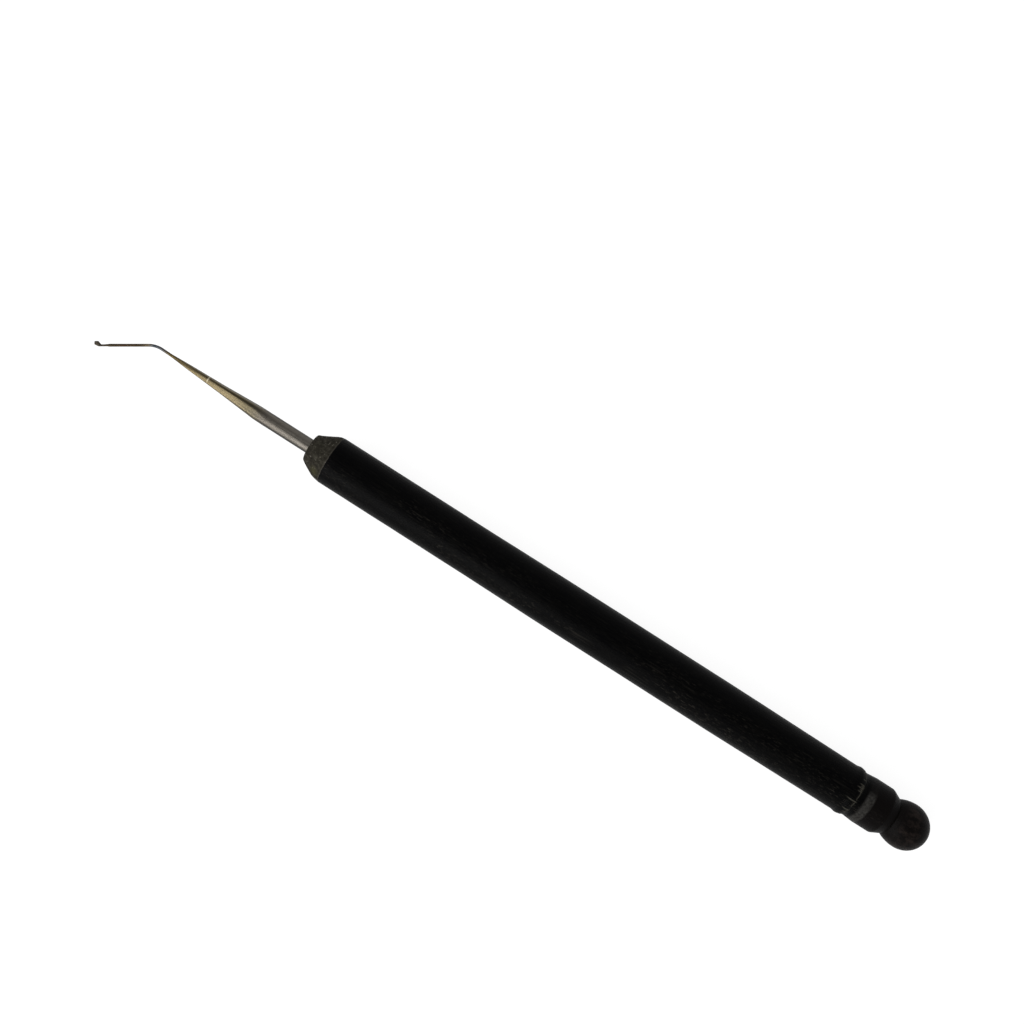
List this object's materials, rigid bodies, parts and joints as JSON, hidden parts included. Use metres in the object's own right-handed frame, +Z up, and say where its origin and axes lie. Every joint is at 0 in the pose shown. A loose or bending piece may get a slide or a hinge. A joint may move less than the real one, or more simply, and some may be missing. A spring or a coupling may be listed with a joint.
{
  "type": "bent crochet hook",
  "caption": "Slim crochet hook for fine thread: a tapered steel hook, bent near its tip, in a turned black wooden handle with a ball end.",
  "frame": {"origin": "on the grip's axis, at the middle of the grip's straight stretch", "axes": "+X along the grip's axis toward the hook, +Y the way the thin rod bends, +Z up when the tool lies on its grip with the bend level"},
  "size_m": [0.1479, 0.0085, 0.008],
  "materials": {
    "black_wood": "near-black turned wood with a satin polish and open pores, the nose sanded back to a matt grey",
    "steel": "bright drawn shank, ground taper with straw to bronze tempering colours",
    "adhesive": "thin dark amber glue"
  },
  "bodies": {
    "root": {"handle": "black_wood", "hook": "steel", "glue_line": "adhesive"}
  },
  "joints": []
}
